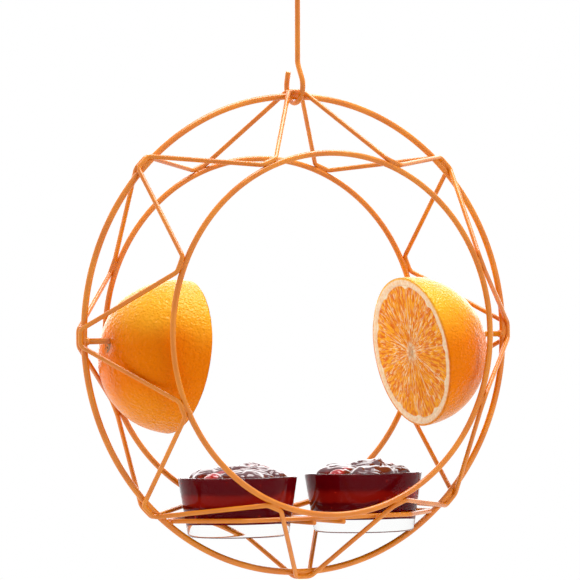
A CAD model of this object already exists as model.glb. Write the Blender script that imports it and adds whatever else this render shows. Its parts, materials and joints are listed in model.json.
import json
import math
import random

import bmesh
import bpy
from mathutils import Matrix, Vector, noise


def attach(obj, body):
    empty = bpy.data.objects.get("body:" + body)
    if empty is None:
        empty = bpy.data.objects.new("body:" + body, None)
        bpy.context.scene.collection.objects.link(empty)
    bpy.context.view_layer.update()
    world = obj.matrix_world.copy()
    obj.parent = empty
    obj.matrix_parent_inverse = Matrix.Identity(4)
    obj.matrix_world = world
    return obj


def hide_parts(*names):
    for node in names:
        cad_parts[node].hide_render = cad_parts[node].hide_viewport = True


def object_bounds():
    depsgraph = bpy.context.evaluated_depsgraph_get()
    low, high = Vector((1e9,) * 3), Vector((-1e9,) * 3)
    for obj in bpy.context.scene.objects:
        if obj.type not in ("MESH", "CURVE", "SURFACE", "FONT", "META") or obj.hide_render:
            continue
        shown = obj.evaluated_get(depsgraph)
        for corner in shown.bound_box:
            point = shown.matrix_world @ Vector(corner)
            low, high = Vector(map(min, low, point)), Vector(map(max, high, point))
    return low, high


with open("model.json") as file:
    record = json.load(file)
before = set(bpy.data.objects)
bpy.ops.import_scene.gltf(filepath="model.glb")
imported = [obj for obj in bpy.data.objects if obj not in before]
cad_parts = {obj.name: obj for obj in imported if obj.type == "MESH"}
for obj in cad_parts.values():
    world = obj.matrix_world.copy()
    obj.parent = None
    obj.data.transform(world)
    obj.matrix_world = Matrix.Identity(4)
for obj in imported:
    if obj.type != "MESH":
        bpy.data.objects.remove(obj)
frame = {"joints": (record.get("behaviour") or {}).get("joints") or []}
cad_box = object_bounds()


# The outer ring: one length of steel wire, rolled to a circle, butt-welded and powder-coated with
# everything that is welded to it. It hangs in the hook by the middle of its top.
RING_TOP = Vector(frame["joints"][0]["pos_m"])
RING_RADIUS = 0.140
RING_WIRE = 0.0038
CENTRE = RING_TOP - Vector((0, 0, RING_RADIUS))
RING_STEPS = 384
WIRE_SIDES = 24
COAT_TEXTURE = 0.000006


def srgb(red, green, blue):
    """A colour written as it looks on a screen, 0 to 255, as a shader takes it."""
    channels = [value / 255 for value in (red, green, blue)]
    linear = [c / 12.92 if c <= 0.04045 else ((c + 0.055) / 1.055) ** 2.4 for c in channels]
    return (*linear, 1.0)


class Link:
    """One value in a shader. The operators on it add Math nodes."""

    def __init__(self, finish, socket):
        self.finish = finish
        self.socket = socket

    def math(self, operation, first, second=0.0):
        return self.finish.node("Math", {"operation": operation}, {0: first, 1: second})

    def __add__(self, other):
        return self.math("ADD", self, other)

    def __sub__(self, other):
        return self.math("SUBTRACT", self, other)

    def __rsub__(self, other):
        return self.math("SUBTRACT", other, self)

    def __mul__(self, other):
        return self.math("MULTIPLY", self, other)

    def __truediv__(self, other):
        return self.math("DIVIDE", self, other)

    def __rtruediv__(self, other):
        return self.math("DIVIDE", other, self)

    __radd__ = __add__
    __rmul__ = __mul__

    def rise(self, low, high):
        """0 below low, 1 above high, and smooth between them."""
        return self.finish.node("MapRange", {"interpolation_type": "SMOOTHSTEP"},
                                {"Value": self, "From Min": low, "From Max": high})


class Finish:
    """The nodes of a material or a world, with one method for any of them."""

    def __init__(self, owner):
        self.owner = owner
        owner.use_nodes = True
        self.tree = owner.node_tree
        self.tree.nodes.clear()

    def node(self, kind, settings=None, inputs=None, out=0):
        """Add a node. The settings come first, then the values or links of its sockets."""
        made = self.tree.nodes.new("ShaderNode" + kind)
        for name, value in (settings or {}).items():
            setattr(made, name, value)
        for name, value in (inputs or {}).items():
            if isinstance(value, Link):
                self.tree.links.new(value.socket, made.inputs[name])
            else:
                made.inputs[name].default_value = value
        return Link(self, made.outputs[out]) if made.outputs else None

    def place(self):
        """Where a point lies in its piece, in metres."""
        return self.node("TexCoord", out="Object")

    def along(self, axis):
        """How far a point lies along one axis of its piece."""
        return self.node("SeparateXYZ", None, {"Vector": self.place()}, out=axis)

    def grain(self, scale, detail=2.0, where=None, **more):
        """Noise, from 0 to 1, with that many waves to a metre."""
        inputs = {"Vector": where or self.place(), "Scale": scale, "Detail": detail}
        inputs.update(more)
        return self.node("TexNoise", None, inputs)

    def mix(self, factor, first, second):
        """A colour between two."""
        return self.node("Mix", {"data_type": "RGBA"}, {0: factor, 6: first, 7: second}, out=2)

    def relief(self, height, depth, under=None):
        """A normal from a height of 0 to 1 and its depth in metres."""
        inputs = {"Height": height, "Distance": depth, "Strength": 1.0}
        if under:
            inputs["Normal"] = under
        return self.node("Bump", None, inputs)

    def surface(self, **sockets):
        """End the material in one Principled shader. An underscore stands for a space."""
        shader = self.node("BsdfPrincipled", None,
                           {name.replace("_", " "): value for name, value in sockets.items()})
        self.node("OutputMaterial", None, {"Surface": shader})
        return self.owner


def powder_coat():
    """Satin orange powder coat: slightly uneven in colour, with a fine orange-peel skin."""
    coat = Finish(bpy.data.materials.new("orange_powder_coat"))
    cloud = coat.grain(45, 3.0)
    base = coat.mix(cloud.rise(0.3, 0.72), srgb(216, 117, 8), srgb(230, 136, 16))
    skin = coat.relief(coat.grain(400, 0.5), COAT_TEXTURE)
    return coat.surface(Base_Color=base, Roughness=coat.grain(200, 1.0) * 0.06 + 0.19,
                        Specular_IOR_Level=0.6, Normal=skin)


def carried_frames(line, closed):
    """For each point of a line, its direction and two steady directions across it."""
    count = len(line)
    ahead = []
    for number in range(count):
        before = line[number - 1] if number or closed else line[0]
        after = line[(number + 1) % count] if closed or number < count - 1 else line[-1]
        ahead.append((after - before).normalized())
    across = [ahead[0].orthogonal().normalized()]
    for number in range(1, count):
        across.append(ahead[number - 1].rotation_difference(ahead[number]) @ across[-1])
    if closed:
        home = ahead[-1].rotation_difference(ahead[0]) @ across[-1]
        miss = math.atan2(home.cross(across[0]).dot(ahead[0]), home.dot(across[0]))
        for number in range(count):
            across[number] = Matrix.Rotation(miss * number / count, 3, ahead[number]) @ across[number]
    return [(a, c, a.cross(c)) for a, c in zip(ahead, across)]


def bands(starts, turns):
    """Faces between rings of that many vertices. Each ring begins at the number given for it."""
    faces = []
    for here, there in zip(starts, starts[1:]):
        for turn in range(turns):
            beside = (turn + 1) % turns
            faces.append((here + turn, here + beside, there + beside, there + turn))
    return faces


def tube(line, radius, closed=False, sides=WIRE_SIDES):
    """Vertices and faces of a round wire. The radius is one number, or one for each point."""
    radii = radius if isinstance(radius, list) else [radius] * len(line)
    vertices = []
    for point, size, (_, right, up) in zip(line, radii, carried_frames(line, closed)):
        for side in range(sides):
            angle = 2 * math.pi * side / sides
            vertices.append(point + (right * math.cos(angle) + up * math.sin(angle)) * size)
    starts = list(range(0, len(vertices), sides))
    if closed:
        return vertices, bands(starts + starts[:1], sides)
    ends = [tuple(reversed(range(sides))), tuple(range(starts[-1], len(vertices)))]
    return vertices, bands(starts, sides) + ends


def piece(name, form, material, body, stands_for=(), place=None, attributes=None):
    """Make a mesh object. It rides on a body and takes the place of CAD nodes."""
    vertices, faces = form
    mesh = bpy.data.meshes.new(name)
    mesh.from_pydata(vertices, [], faces)
    for label, values in (attributes or {}).items():
        layer = mesh.attributes.new(label, "FLOAT", "POINT")
        layer.data.foreach_set("value", values)
    shape = bmesh.new()
    shape.from_mesh(mesh)
    bmesh.ops.recalc_face_normals(shape, faces=shape.faces)
    shape.to_mesh(mesh)
    shape.free()
    mesh.shade_smooth()
    mesh.materials.append(material)
    made = bpy.data.objects.new(name, mesh)
    bpy.context.scene.collection.objects.link(made)
    if place:
        made.matrix_world = place
    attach(made, body)
    if stands_for:
        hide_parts(*stands_for)
    return made


def circle(radius, depth):
    """Points of a ring of the cage, at a depth behind the outer ring's plane."""
    points = []
    for step in range(RING_STEPS):
        angle = 2 * math.pi * step / RING_STEPS
        points.append(CENTRE + Vector((radius * math.sin(angle), depth, radius * math.cos(angle))))
    return points


POWDER_COAT = powder_coat()
piece("outer_ring_wire", tube(circle(RING_RADIUS, 0), RING_WIRE / 2, closed=True), POWDER_COAT,
      "feeder", ["outer_ring"])


# The front and rear rings: smaller rings of thinner wire, held in front of and behind the outer
# one by the zigzags. The low part of the front ring is the perch.
SIDE_RADIUS = 0.105
SIDE_WIRE = 0.0035
SIDE_OFFSET = 0.044
FRONT_AND_REAR = (("front", -1), ("rear", 1))

for name, side in FRONT_AND_REAR:
    middle_line = circle(SIDE_RADIUS, side * SIDE_OFFSET)
    piece(f"{name}_ring_wire", tube(middle_line, SIDE_WIRE / 2, closed=True), POWDER_COAT,
          "feeder", [f"{name}_ring"])


# The zigzags: one wire each, bent to and fro between the outer ring and a side ring, and laid
# along the outside of both for a short run at each of the sixteen welds.
ZIGZAG_WIRE = 0.0028
ZIGZAG_NODES = 8
ZIGZAG_FLAT = 0.0095
ZIGZAG_BEND = 0.004
WELD_SINK = 0.00015
ZIGZAG_BESIDE = (ZIGZAG_WIRE - WELD_SINK) / 2
OUTER_REACH = (RING_WIRE + ZIGZAG_WIRE) / 2 - WELD_SINK
OUTER_WELD_RADIUS = RING_RADIUS + math.sqrt(OUTER_REACH ** 2 - ZIGZAG_BESIDE ** 2)
SIDE_WELD_RADIUS = SIDE_RADIUS + (SIDE_WIRE + ZIGZAG_WIRE) / 2 - WELD_SINK
BEND_STEPS = 9


def rounded(before, corner, after, radius, steps):
    """The points of the arc that rounds a corner and meets both of its sides smoothly."""
    back = (before - corner).normalized()
    ahead = (after - corner).normalized()
    half_turn = (math.pi - back.angle(ahead)) / 2
    middle = corner + (back + ahead).normalized() * (radius / math.cos(half_turn))
    start = corner + back * radius * math.tan(half_turn) - middle
    axis = back.cross(ahead).normalized()
    turns = [Matrix.Rotation(-2 * half_turn * step / steps, 3, axis) for step in range(steps + 1)]
    return [middle + turn @ start for turn in turns]


def bent_line(corners, bends, closed):
    """Points along straight runs that are joined by bends of the given radii."""
    line = []
    for number, corner in enumerate(corners):
        if not closed and number in (0, len(corners) - 1):
            line.append(corner)
        else:
            after = corners[(number + 1) % len(corners)]
            line += rounded(corners[number - 1], corner, after, bends[number], BEND_STEPS)
    return line


def around(angle, radius, depth):
    """A point of the cage, its outward direction and the direction along the ring."""
    outward = Vector((math.sin(angle), 0, math.cos(angle)))
    along = Vector((math.cos(angle), 0, -math.sin(angle)))
    return CENTRE + outward * radius + Vector((0, depth, 0)), outward, along


def zigzag_line(side):
    corners = []
    for half_step in range(2 * ZIGZAG_NODES):
        angle = math.pi * half_step / ZIGZAG_NODES
        if half_step % 2:
            weld, _, along = around(angle, SIDE_WELD_RADIUS, side * SIDE_OFFSET)
        else:
            weld, _, along = around(angle, OUTER_WELD_RADIUS, side * ZIGZAG_BESIDE)
        corners += [weld - along * ZIGZAG_FLAT / 2, weld + along * ZIGZAG_FLAT / 2]
    return bent_line(corners, [ZIGZAG_BEND] * len(corners), closed=True)


for name, side in FRONT_AND_REAR:
    piece(f"{name}_zigzag_wire", tube(zigzag_line(side), ZIGZAG_WIRE / 2, closed=True),
          POWDER_COAT, "feeder", [f"{name}_zigzag"])


# The welds of the cage: a slim seam of metal and coating that fills the groove between the two
# wires, where each short run of a zigzag touches its ring.
SEAM_HALF = 0.0034
SEAM_RADIUS = 0.00105
SEAM_TIP = 0.04
SEAM_STEPS = 14
SEAM_SIDES = 12


def seam(middle, along, half=SEAM_HALF, radius=SEAM_RADIUS):
    """A spindle along a joint, thickest in its middle."""
    line, radii = [], []
    for step in range(SEAM_STEPS + 1):
        share = math.cos(math.pi * step / SEAM_STEPS)
        line.append(middle + along * half * share)
        radii.append(max(radius * (1 - share ** 4) ** 0.5, radius * SEAM_TIP))
    return tube(line, radii, sides=SEAM_SIDES)


def joined(forms):
    """Several (vertices, faces) pairs as one."""
    vertices, faces = [], []
    for more_vertices, more_faces in forms:
        first = len(vertices)
        vertices += more_vertices
        faces += [tuple(first + corner for corner in face) for face in more_faces]
    return vertices, faces


def cage_seams(side):
    forms = []
    for half_step in range(2 * ZIGZAG_NODES):
        angle = math.pi * half_step / ZIGZAG_NODES
        if half_step % 2:
            ring, outward, along = around(angle, SIDE_RADIUS, side * SIDE_OFFSET)
            contact = ring + outward * (SIDE_WIRE / 2 - WELD_SINK / 2)
        else:
            ring, outward, along = around(angle, RING_RADIUS, 0)
            beside, _, _ = around(angle, OUTER_WELD_RADIUS, side * ZIGZAG_BESIDE)
            contact = ring + (beside - ring).normalized() * (RING_WIRE / 2 - WELD_SINK / 2)
        forms.append(seam(contact, along))
    return joined(forms)


for name, side in FRONT_AND_REAR:
    piece(f"{name}_cage_welds", cage_seams(side), POWDER_COAT, "feeder")


# The fruit spikes: pointed rods, each welded by its blunt end to the inside of the outer ring at
# three and nine o'clock. An orange half is pushed onto each.
SPIKE_WIRE = 0.0035
SPIKE_LENGTH = 0.045
SPIKE_POINT = 0.007
SPIKE_TIP = 0.0001
SPIKE_DROP = 0.002
SPIKE_SEAM_HALF = 0.0016
SPIKE_SEAM_RADIUS = SPIKE_WIRE / 2 + 0.0006
SIDES = (("left", -1), ("right", 1))


def spike_form(side):
    foot = CENTRE + Vector((side * (RING_RADIUS - RING_WIRE / 2 + WELD_SINK), 0, -SPIKE_DROP))
    inward = Vector((-side, 0, 0))
    shoulder = SPIKE_LENGTH - SPIKE_POINT
    line = [foot, foot + inward * shoulder, foot + inward * SPIKE_LENGTH]
    return joined([tube(line, [SPIKE_WIRE / 2, SPIKE_WIRE / 2, SPIKE_TIP]),
                   seam(foot, inward, SPIKE_SEAM_HALF, SPIKE_SEAM_RADIUS)])


for name, side in SIDES:
    piece(f"{name}_spike_rod", spike_form(side), POWDER_COAT, "feeder",
          [f"{name}_fruit_spike"])


# The cup rack: a closed loop of wire whose rails grip both cups, with its short ends welded to the
# inside of the outer ring, and two cross wires welded under the rails.
RACK_WIRE = 0.0028
RACK_DROP = 0.107
RACK_END = 0.008
RACK_BEND = 0.006
RACK_GRIP = 0.0105
CUP_GAP = 0.0001
CUP_X = 0.042
CUP_RIM = 0.070
CUP_BASE = 0.059
CUP_HEIGHT = 0.035
CUP_SLOPE = (CUP_RIM - CUP_BASE) / 2 / CUP_HEIGHT


def stand_off(height):
    """From a cup's axis to a rack wire that passes it at that height."""
    return CUP_BASE / 2 + height * CUP_SLOPE + (RACK_WIRE / 2 + CUP_GAP) * math.hypot(1, CUP_SLOPE)


RAIL_Y = stand_off(RACK_GRIP)
RACK_REACH = RING_RADIUS - (RING_WIRE + RACK_WIRE) / 2 + WELD_SINK
RACK_END_X = math.sqrt(RACK_REACH ** 2 - RACK_DROP ** 2)
RACK_LEVEL = Vector((0, 0, CENTRE.z - RACK_DROP))


def rack_line():
    half_end = RACK_END / 2
    corner_reach = math.hypot(RACK_END_X - CUP_X, half_end)
    slant = math.atan2(half_end, RACK_END_X - CUP_X) + math.acos(RAIL_Y / corner_reach)
    rail_x = CUP_X + RAIL_Y * (1 - math.sin(slant)) / math.cos(slant)
    corners, bends = [], []
    for turn_x, turn_y, order in ((1, 1, 1), (1, -1, -1), (-1, -1, 1), (-1, 1, -1)):
        quarter = [(rail_x, RAIL_Y, RACK_BEND), (RACK_END_X, half_end, half_end)][::order]
        for x, y, bend in quarter:
            corners.append(RACK_LEVEL + Vector((turn_x * x, turn_y * y, 0)))
            bends.append(bend)
    return bent_line(corners, bends, closed=True)


piece("rack_loop_wire", tube(rack_line(), RACK_WIRE / 2, closed=True), POWDER_COAT, "feeder",
      ["rack_loop"])

CROSS_DROP = RACK_WIRE - WELD_SINK
CROSS_X = CUP_X - stand_off(RACK_GRIP - CROSS_DROP)
END_CHAMFER = 0.0003
RAIL_SEAM_HALF = 0.0016
RAIL_SEAM_RADIUS = 0.0011
END_SEAM_HALF = 0.0022
END_SEAM_RADIUS = 0.0013


def cut_wire(line, wire):
    """An open wire with its cut ends just broken."""
    first = line[0] + (line[1] - line[0]).normalized() * END_CHAMFER
    last = line[-1] + (line[-2] - line[-1]).normalized() * END_CHAMFER
    radii = [wire / 2] * (len(line) + 2)
    radii[0] = radii[-1] = wire / 2 - END_CHAMFER
    return tube([line[0], first, *line[1:-1], last, line[-1]], radii)


rack_welds = []
for name, side in SIDES:
    level = RACK_LEVEL + Vector((side * CROSS_X, 0, -CROSS_DROP))
    reach = Vector((0, RAIL_Y + RACK_WIRE / 2, 0))
    piece(f"{name}_cross_wire", cut_wire([level - reach, level + reach], RACK_WIRE), POWDER_COAT,
          "feeder", [f"{name}_rack_cross_wire"])
    for rail in (-1, 1):
        touch = RACK_LEVEL + Vector((side * CROSS_X, rail * RAIL_Y, -CROSS_DROP / 2))
        rack_welds.append(seam(touch, Vector((1, 0, 0)), RAIL_SEAM_HALF, RAIL_SEAM_RADIUS))
    end = RACK_LEVEL + Vector((side * RACK_END_X, 0, 0))
    touch = end + (end - CENTRE).normalized() * RACK_WIRE / 2
    rack_welds.append(seam(touch, Vector((0, 1, 0)), END_SEAM_HALF, END_SEAM_RADIUS))
piece("rack_welds", joined(rack_welds), POWDER_COAT, "feeder")


# The hook: one bent wire. Its lower bend passes under the outer ring, a neck brings the shank over
# the ring, and its upper bend goes over a branch. Its ends are plain cuts.
HOOK_WIRE = 0.0032
LOWER_BEND = 0.010
SWING_GAP = 0.0003
HOOK_TIP = 0.006
TIP_LEAN = math.radians(18)
SHANK_LEAN = math.radians(1.7)
SHANK_OFFSET = 0.004
NECK_LEAN = math.radians(30)
NECK_BEND = 0.007
UPPER_BEND = 0.015
UPPER_TIP = 0.005
HOOK_ARC_STEPS = 40


def hook_line():
    lower = RING_TOP.z + LOWER_BEND - (HOOK_WIRE + RING_WIRE) / 2 - SWING_GAP
    upper = HOOK_WIRE / 2 - UPPER_BEND

    def on_bend(level, radius, angle):
        return Vector((0, radius * math.cos(angle), level + radius * math.sin(angle)))

    def bend_line(level, radius, start, stop):
        steps = [start + (stop - start) * step / HOOK_ARC_STEPS for step in range(HOOK_ARC_STEPS + 1)]
        return [on_bend(level, radius, angle) for angle in steps]

    low = bend_line(lower, LOWER_BEND, TIP_LEAN, -math.pi - NECK_LEAN)
    high = bend_line(upper, UPPER_BEND, math.pi + NECK_LEAN, -TIP_LEAN)
    neck = Vector((0, math.sin(NECK_LEAN), math.cos(NECK_LEAN)))
    foot = low[-1] + neck * ((-SHANK_OFFSET - low[-1].y) / neck.y)
    slope = math.tan(SHANK_LEAN)
    rise = (foot.y - high[0].y - slope * (high[0].z - foot.z)) / (math.tan(NECK_LEAN) - slope)
    head = Vector((0, high[0].y + rise * math.tan(NECK_LEAN), high[0].z - rise))
    shank = bent_line([low[-1], foot, head, high[0]], [0, NECK_BEND, NECK_BEND, 0], closed=False)
    free_low = low[0] + Vector((0, -math.sin(TIP_LEAN), math.cos(TIP_LEAN))) * HOOK_TIP
    free_high = high[-1] - Vector((0, math.sin(TIP_LEAN), math.cos(TIP_LEAN))) * UPPER_TIP
    return [free_low, *low, *shank[1:-1], *high, free_high]


piece("hook_rod", cut_wire(hook_line(), HOOK_WIRE), POWDER_COAT, "hook",
      ["hanging_hook"])


# The jelly cups: clear pressed glass, tapered, with a thick floor. Each drops into the rack until
# the loop grips it all round.
CUP_WALL = 0.0028
CUP_FLOOR = 0.008
FOOT_ROUND = 0.0025
RIM_ROUND = 0.0011
WELL_ROUND = 0.003
GLASS_WAVES = 0.00006
CUP_TURNS = 160
ROUND_STEPS = 8


def clear_glass():
    """Clear glass with a very faint green and the soft waves of a pressing.

    Its index is below real glass, so that it mirrors less of the white surround.
    """
    glass = Finish(bpy.data.materials.new("clear_glass"))
    waves = glass.relief(glass.grain(90, 1.0), GLASS_WAVES)
    return glass.surface(Base_Color=(0.985, 0.99, 0.985, 1), Roughness=0.01, IOR=1.2,
                         Transmission_Weight=1.0, Normal=waves)


def rounded_outline(corners, rounds):
    """A half section, as (radius, height) points. The corners with these numbers are rounded."""
    flat = [Vector((radius, 0, height)) for radius, height in corners]
    line = []
    for number, corner in enumerate(flat):
        if number in rounds:
            line += rounded(flat[number - 1], corner, flat[number + 1], rounds[number], ROUND_STEPS)
        else:
            line.append(corner)
    return [(point.x, point.z) for point in line]


def ring_points(radius, height, turns):
    """A level ring of points round the Z axis."""
    angles = [2 * math.pi * turn / turns for turn in range(turns)]
    return [Vector((radius * math.cos(angle), radius * math.sin(angle), height)) for angle in angles]


def fan(hub, start, turns):
    """Faces that close a ring of vertices on one vertex."""
    return [(hub, start + turn, start + (turn + 1) % turns) for turn in range(turns)]


def spun(outline, turns):
    """An outline from axis to axis, spun about Z, and the numbers its rings begin at."""
    vertices = [Vector((0, 0, outline[0][1])), Vector((0, 0, outline[-1][1]))]
    starts = []
    for radius, height in outline[1:-1]:
        starts.append(len(vertices))
        vertices += ring_points(radius, height, turns)
    return vertices, fan(0, starts[0], turns) + bands(starts, turns), starts


def cup_form():
    vertices, faces, starts = spun(CUP_SECTION, CUP_TURNS)
    return vertices, faces + fan(1, starts[-1], CUP_TURNS)


WELL_WALL = CUP_WALL * math.hypot(1, CUP_SLOPE)
WELL_TOP = CUP_RIM / 2 - WELL_WALL
WELL_FOOT = WELL_TOP - (CUP_HEIGHT - CUP_FLOOR) * CUP_SLOPE
CUP_SECTION = rounded_outline(
    [(0, 0), (CUP_BASE / 2, 0), (CUP_RIM / 2, CUP_HEIGHT), (WELL_TOP, CUP_HEIGHT),
     (WELL_FOOT, CUP_FLOOR), (0, CUP_FLOOR)],
    {1: FOOT_ROUND, 2: RIM_ROUND, 3: RIM_ROUND, 4: WELL_ROUND})
CUP_PLACES = {name: Matrix.Translation(RACK_LEVEL + Vector((side * CUP_X, 0, -RACK_GRIP)))
              for name, side in SIDES}
GLASS = clear_glass()
for name, side in SIDES:
    piece(f"{name}_cup_glass", cup_form(), GLASS, "feeder",
          [f"{name}_jelly_cup"], CUP_PLACES[name])


# The grape jelly: set, shiny and dark maroon. It is spooned in to the rim and heaped in torn lumps,
# and it wets the glass all round.
JELLY_WETS = 0.00012
JELLY_LEVEL = CUP_HEIGHT - 0.0010
JELLY_HEAP = 0.0088
JELLY_EDGE = 0.0002
JELLY_SKIN = 0.0003
JELLY_RINGS = 110
JELLY_TURNS = 320
# the heights between which a redder band runs round the side, each with its soft edge
BAND_FOOT = (0.0205, 0.0225)
BAND_TOP = (0.026, 0.030)
# each lump's reach from the cup's axis, its width, its direction in degrees and its height. The
# lengths are shares of the top's radius, and the height is a share of the heap.
JELLY_LUMPS = ((0.28, 0.52, 20, 1.0), (0.38, 0.50, 150, 0.72), (0.42, 0.46, 265, 0.62),
               (0.66, 0.26, -28, 0.55), (0.62, 0.24, 62, 0.50), (0.70, 0.22, 205, 0.42),
               (0.12, 0.26, 100, 0.88))
# what tears, creases, chips and the edge that climbs the glass add, as shares of the heap
JELLY_TORN = 0.16
JELLY_CREASE = 0.08
JELLY_CHIPS = 0.03
JELLY_LIP = 0.10
LIP_REACH = 0.04


def grape_jelly():
    """Set grape jelly: dark maroon, redder in a band and in a few beads, with a wet skin on top."""
    jelly = Finish(bpy.data.materials.new("grape_jelly"))
    open_top = jelly.node("Attribute", {"attribute_name": "open_top"}, out="Fac")
    level = jelly.along("Z") + jelly.grain(60, 2.0) * 0.006
    band = level.rise(*BAND_FOOT) * (1 - level.rise(*BAND_TOP))
    base = jelly.mix(band, srgb(98, 3, 11), srgb(150, 20, 12))
    bead = jelly.grain(300, 1.0).rise(0.715, 0.745)
    base = jelly.mix(bead, base, srgb(214, 44, 30))
    torn = jelly.mix(jelly.grain(70, 1.0).rise(0.56, 0.66), srgb(84, 3, 16), srgb(176, 14, 26))
    base = jelly.mix(open_top, base, torn)
    skin = jelly.relief(jelly.grain(150, 1.0), JELLY_SKIN)
    return jelly.surface(Base_Color=base, Roughness=0.35, Specular_IOR_Level=0.0,
                         Coat_Weight=open_top, Coat_Roughness=0.04, Coat_IOR=1.7, Normal=skin)


def jelly_height(x, y, edge, seed):
    """How far the top stands above its level. x, y and edge are shares of its radius."""
    bend = 0.10 * noise.noise(Vector((x * 3, y * 3, seed + 5)))
    heap = 0.0
    for reach, width, direction, share in JELLY_LUMPS:
        angle = math.radians(direction)
        off = math.hypot(x + bend - reach * math.cos(angle), y - bend - reach * math.sin(angle))
        off /= width
        heap = max(heap, share * max(0.0, 1 - off ** 2) ** 0.5)
    torn = noise.noise(Vector((x * 4.5, y * 4.5, seed)))
    crease = 1 - min(1.0, abs(noise.noise(Vector((x * 3.4, y * 3.4, seed + 9)))) * 6)
    chips = abs(noise.noise(Vector((x * 8, y * 8, seed + 2))))
    rough = JELLY_TORN * torn - JELLY_CREASE * crease + JELLY_CHIPS * (chips - 0.3)
    calm = min(1.0, (1 - edge) * 7)
    lip = JELLY_LIP * math.exp(-((1 - edge) / LIP_REACH) ** 2)
    return JELLY_HEAP * (min(1.0, heap * 0.97 + rough * (0.35 + 0.65 * heap)) * calm + lip)


def jelly_form(seed):
    top = WELL_TOP + JELLY_WETS - (CUP_HEIGHT - JELLY_LEVEL) * CUP_SLOPE
    foot = WELL_FOOT + JELLY_WETS
    floor = CUP_FLOOR - JELLY_WETS
    under_top = (top - JELLY_EDGE * CUP_SLOPE, JELLY_LEVEL - JELLY_EDGE)
    side = rounded_outline([(0, floor), (foot, floor), under_top, (top, JELLY_LEVEL)],
                           {1: WELL_ROUND})
    vertices, faces, starts = spun([*side, (0, JELLY_LEVEL)], JELLY_TURNS)
    # the top: rings of points inside the last ring of the side, closing on the middle
    last = starts[-1]
    for turn in range(JELLY_TURNS):
        angle = 2 * math.pi * turn / JELLY_TURNS
        vertices[last + turn].z += jelly_height(math.cos(angle), math.sin(angle), 1, seed)
    rings = [last]
    for ring in range(1, JELLY_RINGS):
        edge = 1 - ring / JELLY_RINGS
        rings.append(len(vertices))
        for turn in range(JELLY_TURNS):
            angle = 2 * math.pi * turn / JELLY_TURNS
            x, y = edge * math.cos(angle), edge * math.sin(angle)
            height = JELLY_LEVEL + jelly_height(x, y, edge, seed)
            vertices.append(Vector((top * x, top * y, height)))
    vertices[1] = Vector((0, 0, JELLY_LEVEL + jelly_height(0, 0, 0, seed)))
    faces += bands(rings, JELLY_TURNS) + fan(1, rings[-1], JELLY_TURNS)
    # the sides wet the glass, so only the top has a gloss of its own
    open_top = [1.0 if number == 1 or number >= last else 0.0 for number in range(len(vertices))]
    return (vertices, faces), {"open_top": open_top}


JELLY = grape_jelly()
for name, side in SIDES:
    form, layers = jelly_form(3.0 + side)
    piece(f"{name}_jelly", form, JELLY, "feeder", [f"{name}_grape_jelly"],
          CUP_PLACES[name], layers)


# The orange halves: the peel with its white pith. The peel is waxy and pitted, and the pith shows
# as a pale ring round the cut face. The stem end is pushed onto the spike.
ORANGE_RADIUS = 0.04525
ORANGE_DEPTH = 0.046
ORANGE_DROOP = math.radians(8.7)
RIND = 0.005
SPIKE_SHOW = {"left": 0.0115, "right": 0.0165}
SPIKE_ABOVE_AXIS = 0.003
PEEL_RINGS = 110
PEEL_TURNS = 260
PITH_RINGS = 12
INSIDE_RINGS = 14
SCAR_RADIUS = 0.0042
SCAR_SOLID = 0.7
SKIN_SWELL = 0.0006
DIMPLE_DEPTH = 0.0018
DIMPLE_RADIUS = 0.006
PITH_PUFF = 0.0005
PITH_CRUMB = 0.00022
PITH_SINK = 0.0002
PIT_DEPTH = 0.00042
WRINKLE_DEPTH = 0.0007


def orange_place(name, side):
    """Where the middle of the cut face lies, with its normal towards the middle of the cage."""
    pole_x = RING_RADIUS - RING_WIRE / 2 + WELD_SINK - SPIKE_SHOW[name]
    pole = CENTRE + Vector((pole_x, 0, -SPIKE_DROP - SPIKE_ABOVE_AXIS))
    middle = pole - Vector((math.cos(ORANGE_DROOP), 0, math.sin(ORANGE_DROOP))) * ORANGE_DEPTH
    place = Matrix.Translation(middle) @ Matrix.Rotation(-math.pi / 2 - ORANGE_DROOP, 4, "Y")
    return place if side > 0 else Matrix.Rotation(math.pi, 4, "Z") @ place


ORANGE_PLACES = {name: orange_place(name, side) for name, side in SIDES}


def orange_peel():
    """Waxy peel with oil pits, and cream pith where the depth under the skin shows it."""
    peel = Finish(bpy.data.materials.new("orange_peel"))
    depth = peel.node("Attribute", {"attribute_name": "under_skin"}, out="Fac")
    scar = peel.node("Attribute", {"attribute_name": "scar"}, out="Fac")
    pits = peel.node("TexVoronoi", {"feature": "SMOOTH_F1"},
                     {"Vector": peel.place(), "Scale": 640, "Smoothness": 0.7, "Randomness": 1.0})
    # the upper side of each half is yellower, its middle deep orange, and its lower side paler
    height = peel.along("X") + peel.grain(38, 4.0) * 0.016
    skin = peel.mix(height.rise(-0.036, -0.006), srgb(244, 146, 22), srgb(238, 121, 0))
    skin = peel.mix(height.rise(0.008, 0.038), skin, srgb(254, 182, 42))
    skin = peel.mix(pits.rise(0.0, 0.45) * -0.12 + 0.12, skin, srgb(222, 112, 0))
    speck = peel.grain(1500, 3.0).rise(0.44, 0.56)
    woody = peel.mix(speck, srgb(46, 42, 26), srgb(168, 140, 84))
    skin = peel.mix(scar * peel.grain(900, 2.0).rise(0.34, 0.5), skin, woody)
    pith = peel.mix(peel.grain(520, 3.0).rise(0.35, 0.7), srgb(252, 212, 166), srgb(255, 234, 204))
    base = peel.mix(depth.rise(0.0010, 0.0021), skin, pith)
    dry = depth.rise(0.0006, 0.0014)
    relief = peel.relief(pits, PIT_DEPTH)
    relief = peel.relief(peel.grain(330, 3.0), WRINKLE_DEPTH, relief)
    return peel.surface(Base_Color=base, Roughness=dry * 0.3 + peel.grain(500, 2.0) * 0.08 + 0.14,
                        Specular_IOR_Level=0.18, Specular_Tint=(1, 0.7, 0.25, 1), Normal=relief)


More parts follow.
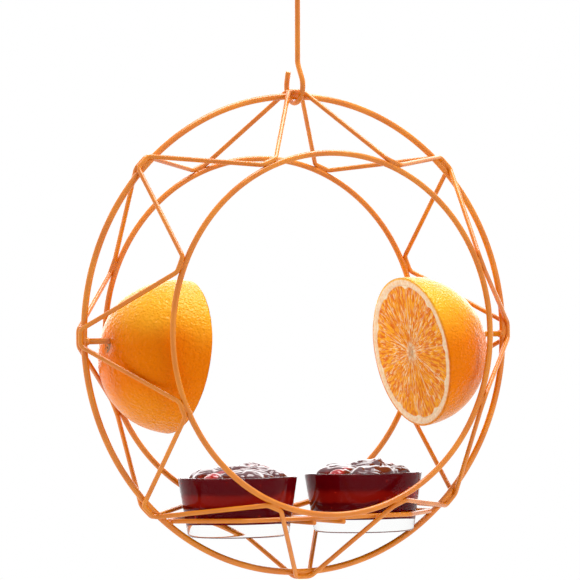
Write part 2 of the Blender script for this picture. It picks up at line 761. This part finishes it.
def peel_form(seed):
    """The half peel in its own frame: the cut face is at z 0, and the pole is below."""
    vertices, depths, scars, rings = [], [], [], []

    def add(points, depth, scar=0.0):
        vertices.extend(points)
        depths.extend([depth] * len(points))
        scars.extend([scar] * len(points))

    def add_ring(points, depth, scar=0.0):
        rings.append(len(vertices))
        add(points, depth, scar)

    def pith_point(spot, puff):
        crumb = noise.noise(spot * 420 + Vector((0, 0, seed))) * PITH_CRUMB
        return spot + Vector((0, 0, puff + crumb - PITH_SINK))

    def skin_point(spot):
        swell = noise.noise(spot * 45 + Vector((seed, 0, 0))) - 0.6
        dimple = DIMPLE_DEPTH * math.exp(-(spot.xy.length / DIMPLE_RADIUS) ** 2)
        return spot * (1 + SKIN_SWELL * swell / ORANGE_RADIUS) + Vector((0, 0, dimple))

    # the inside first, from its pole out to the cut, then the pith, then the skin down to its pole
    inner_radius, inner_deep = ORANGE_RADIUS - RIND, ORANGE_DEPTH - RIND
    add([Vector((0, 0, -inner_deep))], RIND)
    for ring in range(1, INSIDE_RINGS + 1):
        tilt = math.pi / 2 * (1 - ring / INSIDE_RINGS)
        add_ring(ring_points(inner_radius * math.cos(tilt), -inner_deep * math.sin(tilt), PEEL_TURNS),
                 RIND)
    for ring in range(1, PITH_RINGS):
        share = ring / PITH_RINGS
        radius = inner_radius + (ORANGE_RADIUS - inner_radius) * share
        puff = PITH_PUFF * math.sin(math.pi * share)
        add_ring([pith_point(spot, puff) for spot in ring_points(radius, 0, PEEL_TURNS)],
                 ORANGE_RADIUS - radius)
    for ring in range(PEEL_RINGS):
        tilt = math.pi / 2 * ring / PEEL_RINGS
        radius = ORANGE_RADIUS * math.cos(tilt)
        scar = min(1.0, max(0.0, (1 - radius / SCAR_RADIUS) / (1 - SCAR_SOLID)))
        spots = ring_points(radius, -ORANGE_DEPTH * math.sin(tilt), PEEL_TURNS)
        add_ring([skin_point(spot) for spot in spots], 0.0, scar)
    add([skin_point(Vector((0, 0, -ORANGE_DEPTH)))], 0.0, 1.0)
    faces = (fan(0, rings[0], PEEL_TURNS) + bands(rings, PEEL_TURNS)
             + fan(len(vertices) - 1, rings[-1], PEEL_TURNS))
    return (vertices, faces), {"under_skin": depths, "scar": scars}


PEEL = orange_peel()
for name, side in SIDES:
    form, layers = peel_form(7.0 + 3 * side)
    piece(f"{name}_peel", form, PEEL, "feeder", [f"{name}_orange_rind"],
          ORANGE_PLACES[name], layers)


# The pulp: wet segments between thin pale membranes, round a small hollow core. The juice sacs run
# out from the core, so the cut face is streaked like the spokes of a wheel.
PULP_GAP = 0.0001
PULP_RADIUS = ORANGE_RADIUS - RIND - PULP_GAP
PULP_DEPTH = ORANGE_DEPTH - RIND - PULP_GAP
PULP_RINGS = 120
PULP_TURNS = 480
PULP_BACK_RINGS = 10
SEGMENTS = 10
SEGMENT_SPREAD = 0.16
MEMBRANE_HALF = 0.00038
CORNER_DEPTH = 0.0016
CORNER_HALF = 0.0026
RIM_EDGE = 0.0005
CORE_RADIUS = 0.0030
CORE_DEPTH = 0.003
CORE_SLOPE = 0.0016
CORE_SINK = 0.0008
COLLAR_OUT = 0.0010
COLLAR_HALF = 0.0018
COLLAR_RISE = 0.0003
MEMBRANE_RISE = 0.0002
SAC_STREAK = 0.00034
SAC_LUMP = 0.0003
SAC_SINK = 0.0002
SAC_RELIEF = 0.0002
STRAND_RELIEF = 0.0001
# how fast the noise of the juice sacs changes round the core and out from it
SPOKE_HUB = 0.0008
SPOKE_ROUND = 0.032
SPOKE_OUT = 0.24


def orange_pulp():
    """Juicy pulp: streaks of juice sacs that run out from the core, pale lines between them."""
    pulp = Finish(bpy.data.materials.new("orange_pulp"))
    x, y = pulp.along("X"), pulp.along("Y")
    reach = pulp.node("Math", {"operation": "SQRT"}, {0: x * x + y * y})
    across = reach + SPOKE_HUB
    spokes = pulp.node("CombineXYZ", None, {0: x / across * SPOKE_ROUND, 1: y / across * SPOKE_ROUND,
                                            2: reach * SPOKE_OUT})
    sacs = pulp.grain(760, 3.0, spokes, Distortion=0.6)
    strands = pulp.grain(780, 2.0, spokes, Distortion=1.0)
    patches = pulp.grain(75, 2.0)
    pale = pulp.node("Attribute", {"attribute_name": "pale"}, out="Fac")
    juice = pulp.mix(sacs.rise(0.38, 0.62), srgb(228, 112, 0), srgb(255, 174, 30))
    inner = 1.25 - reach * 20
    streak = strands.rise(0.555, 0.595) * patches.rise(0.34, 0.56) * inner
    juice = pulp.mix(streak, juice, srgb(255, 232, 186))
    base = pulp.mix(pale, juice, srgb(255, 236, 200))
    relief = pulp.relief(sacs, SAC_RELIEF)
    relief = pulp.relief(strands, STRAND_RELIEF, relief)
    return pulp.surface(Base_Color=base, Roughness=sacs * 0.2 + 0.15, Specular_IOR_Level=0.06,
                        Normal=relief)


def pulp_form(seed):
    """The pulp in the orange's own frame, with its cut face up."""
    dice = random.Random(seed)
    widths = [1 + dice.uniform(-SEGMENT_SPREAD, SEGMENT_SPREAD) for _ in range(SEGMENTS)]
    turn_scale = 2 * math.pi / sum(widths)
    walls = []
    angle = dice.uniform(0, 1)
    for width in widths:
        walls.append(angle)
        angle += width * turn_scale

    def to_wall(angle):
        """How far, in radians, the nearest membrane is."""
        return min(abs(math.remainder(angle - wall, 2 * math.pi)) for wall in walls)

    def at_spot(spot, scale, lift):
        """Smooth noise at a spot, stretched by a scale, with a lift that sets it apart."""
        return noise.noise(Vector((spot.x * scale, spot.y * scale, lift)))

    vertices, pales, rings = [], [], []
    for ring in range(PULP_RINGS):
        radius = PULP_RADIUS * (1 - ring / PULP_RINGS)
        rings.append(len(vertices))
        for turn in range(PULP_TURNS):
            angle = 2 * math.pi * turn / PULP_TURNS
            spot = Vector((math.cos(angle), math.sin(angle), 0))
            wall_off = radius * math.sin(min(to_wall(angle), math.pi / 2))
            wobble = at_spot(spot, 3, seed)
            broken = 0.5 + 1.4 * at_spot(spot, radius * 150, seed + 7)
            membrane = math.exp(-(wall_off / MEMBRANE_HALF) ** 2) * min(1.0, max(0.15, broken))
            # a segment's outer end is rounded, so pith fills the corners beside each membrane
            corner = CORNER_DEPTH * math.exp(-(wall_off / CORNER_HALF) ** 2)
            rim = PULP_RADIUS - RIM_EDGE - corner + 0.0004 * wobble
            in_pith = min(1.0, max(0.0, (radius - rim) / RIM_EDGE))
            core_edge = CORE_RADIUS * (1 + 0.7 * at_spot(spot, 2, seed + 4))
            hollow = min(1.0, max(0.0, (core_edge - radius) / CORE_SLOPE))
            collar = math.exp(-((radius - core_edge - COLLAR_OUT) / COLLAR_HALF) ** 2)
            collar *= min(1.0, 0.75 + 1.2 * wobble)
            streaks = at_spot(spot, 26, radius * 190 + seed)
            lumps = at_spot(spot, radius * 260, seed + 2)
            sac = SAC_STREAK * streaks + SAC_LUMP * lumps - SAC_SINK
            height = sac * (1 - in_pith) * (1 - membrane) + MEMBRANE_RISE * membrane
            height += COLLAR_RISE * collar - CORE_SINK * hollow
            vertices.append(Vector((radius * spot.x, radius * spot.y, height)))
            pales.append(min(1.0, max(0.7 * membrane, in_pith, 0.9 * collar, (0.8 + lumps) * hollow)))
    middle = len(vertices)
    vertices.append(Vector((0, 0, -CORE_DEPTH)))
    pales.append(0.4)
    # the back, out of sight in the peel, from the cut face's edge down to its pole
    back = []
    for ring in range(1, PULP_BACK_RINGS):
        tilt = math.pi / 2 * ring / PULP_BACK_RINGS
        back.append(len(vertices))
        vertices += ring_points(PULP_RADIUS * math.cos(tilt), -PULP_DEPTH * math.sin(tilt),
                                PULP_TURNS)
    vertices.append(Vector((0, 0, -PULP_DEPTH)))
    pales += [1.0] * (len(vertices) - len(pales))
    faces = (fan(len(vertices) - 1, back[-1], PULP_TURNS) + bands(back[::-1] + rings, PULP_TURNS)
             + fan(middle, rings[-1], PULP_TURNS))
    return (vertices, faces), {"pale": pales}


PULP = orange_pulp()
for name, side in SIDES:
    form, layers = pulp_form(11 + side)
    piece(f"{name}_pulp", form, PULP, "feeder", [f"{name}_orange_flesh"],
          ORANGE_PLACES[name], layers)


# The studio: a white floor some way under the feeder, which fades into a white surround, so that
# only the soft shadow near its middle shows.
FLOOR_DROP = 0.25
FLOOR_RADIUS = 3.0
FLOOR_SIDES = 96
FLOOR_CLEAR = 0.35
FLOOR_FADE = 1.1
SHOWING_RAYS = ("Is Camera Ray", "Is Glossy Ray", "Is Transmission Ray")


def seen_ray(finish):
    """1 for a ray that shows the background, straight, mirrored or through glass, else 0."""
    camera, glossy, through = [finish.node("LightPath", out=kind) for kind in SHOWING_RAYS]
    return camera.math("MAXIMUM", camera.math("MAXIMUM", camera, glossy), through)


def white_floor():
    """Matt near the middle, where the shadow falls, and plain white to a seen ray further out."""
    floor = Finish(bpy.data.materials.new("white_floor"))
    reach = floor.node("VectorMath", {"operation": "LENGTH"}, {0: floor.place()}, out="Value")
    seen = seen_ray(floor)
    colour = floor.mix(seen, srgb(234, 232, 229), srgb(236, 235, 233))
    matt = floor.node("BsdfDiffuse", None, {"Color": colour})
    plain = floor.node("Emission", None, {"Color": (1, 1, 1, 1), "Strength": 1.0})
    mixed = floor.node("MixShader", None,
                       {0: reach.rise(FLOOR_CLEAR, FLOOR_FADE) * seen, 1: matt, 2: plain})
    floor.node("OutputMaterial", None, {"Surface": mixed})
    return floor.owner


bpy.ops.mesh.primitive_circle_add(vertices=FLOOR_SIDES, radius=FLOOR_RADIUS, fill_type="NGON",
                                  location=(0, 0, cad_box[0][2] - FLOOR_DROP))
floor = bpy.context.object
floor.name = "studio_floor"
floor.data.materials.append(white_floor())


# The light: an even white surround, a soft lamp overhead and two large soft fills, all at a plain
# level. A white card behind the feeder is seen only mirrored, for the wet shine of the jelly.
WORLD_LEVEL = 0.5
sky = Finish(bpy.data.worlds.new("surround"))
strength = seen_ray(sky) * (1 - WORLD_LEVEL) + WORLD_LEVEL
light = sky.node("Background", None, {"Color": (1, 1, 1, 1), "Strength": strength})
sky.node("OutputWorld", None, {"Surface": light})
bpy.context.scene.world = sky.owner


def soft_box(name, place, width, height, watts, shines=True, mirrored=True):
    """A rectangular lamp that faces the feeder. It lights it, is mirrored in it, or both."""
    lamp = bpy.data.lights.new(name, "AREA")
    lamp.shape = "RECTANGLE"
    lamp.size = width
    lamp.size_y = height
    lamp.energy = watts
    made = bpy.data.objects.new(name, lamp)
    made.location = place
    made.visible_camera = False
    made.visible_transmission = False
    made.visible_diffuse = shines
    made.visible_glossy = mirrored
    made.rotation_euler = (Vector(place) - CENTRE).to_track_quat("Z", "Y").to_euler()
    bpy.context.scene.collection.objects.link(made)


soft_box("top_light", (0.22, 0.0, 0.74), width=0.7, height=0.8, watts=14)
soft_box("left_light", (-1.3, 0.8, -0.1), width=1.2, height=1.2, watts=13, mirrored=False)
soft_box("front_light", (0.8, -1.5, -0.2), width=1.2, height=1.2, watts=9, mirrored=False)
soft_box("rear_card", (0.8, 1.5, 0.3), width=2.4, height=1.3, watts=19, shines=False)


# The camera: where the photograph was taken from, well to the left of the front and level with the
# feeder. Its place and its lens come from a fit of the rings to the photograph.
CAMERA_AZIMUTH = math.radians(-28.26)
CAMERA_RISE = math.radians(-0.25)
CAMERA_ROLL = math.radians(-0.9)
CAMERA_DISTANCE = 2.589
CAMERA_ACROSS = -0.00505
CAMERA_UP = 0.02591
FOCAL_PIXELS = 4395
FRAME_PIXELS = 580
SENSOR = 36
FARTHEST_SEEN = 50


def photo_camera():
    right = Vector((math.cos(CAMERA_AZIMUTH), math.sin(CAMERA_AZIMUTH), 0))
    back = Vector((math.sin(CAMERA_AZIMUTH) * math.cos(CAMERA_RISE),
                   -math.cos(CAMERA_AZIMUTH) * math.cos(CAMERA_RISE), math.sin(CAMERA_RISE)))
    up = back.cross(right)
    rolled_right = right * math.cos(CAMERA_ROLL) + up * math.sin(CAMERA_ROLL)
    rolled_up = up * math.cos(CAMERA_ROLL) - right * math.sin(CAMERA_ROLL)
    spot = CENTRE + back * CAMERA_DISTANCE + rolled_right * CAMERA_ACROSS + rolled_up * CAMERA_UP
    lens = bpy.data.cameras.new("photo_camera")
    lens.sensor_width = SENSOR
    lens.lens = SENSOR * FOCAL_PIXELS / FRAME_PIXELS
    lens.clip_end = FARTHEST_SEEN
    made = bpy.data.objects.new("photo_camera", lens)
    turn = Matrix((rolled_right, rolled_up, back)).transposed().to_4x4()
    made.matrix_world = Matrix.Translation(spot) @ turn
    bpy.context.scene.collection.objects.link(made)
    return made


bpy.context.scene.camera = photo_camera()
bpy.context.scene.view_settings.view_transform = "Standard"
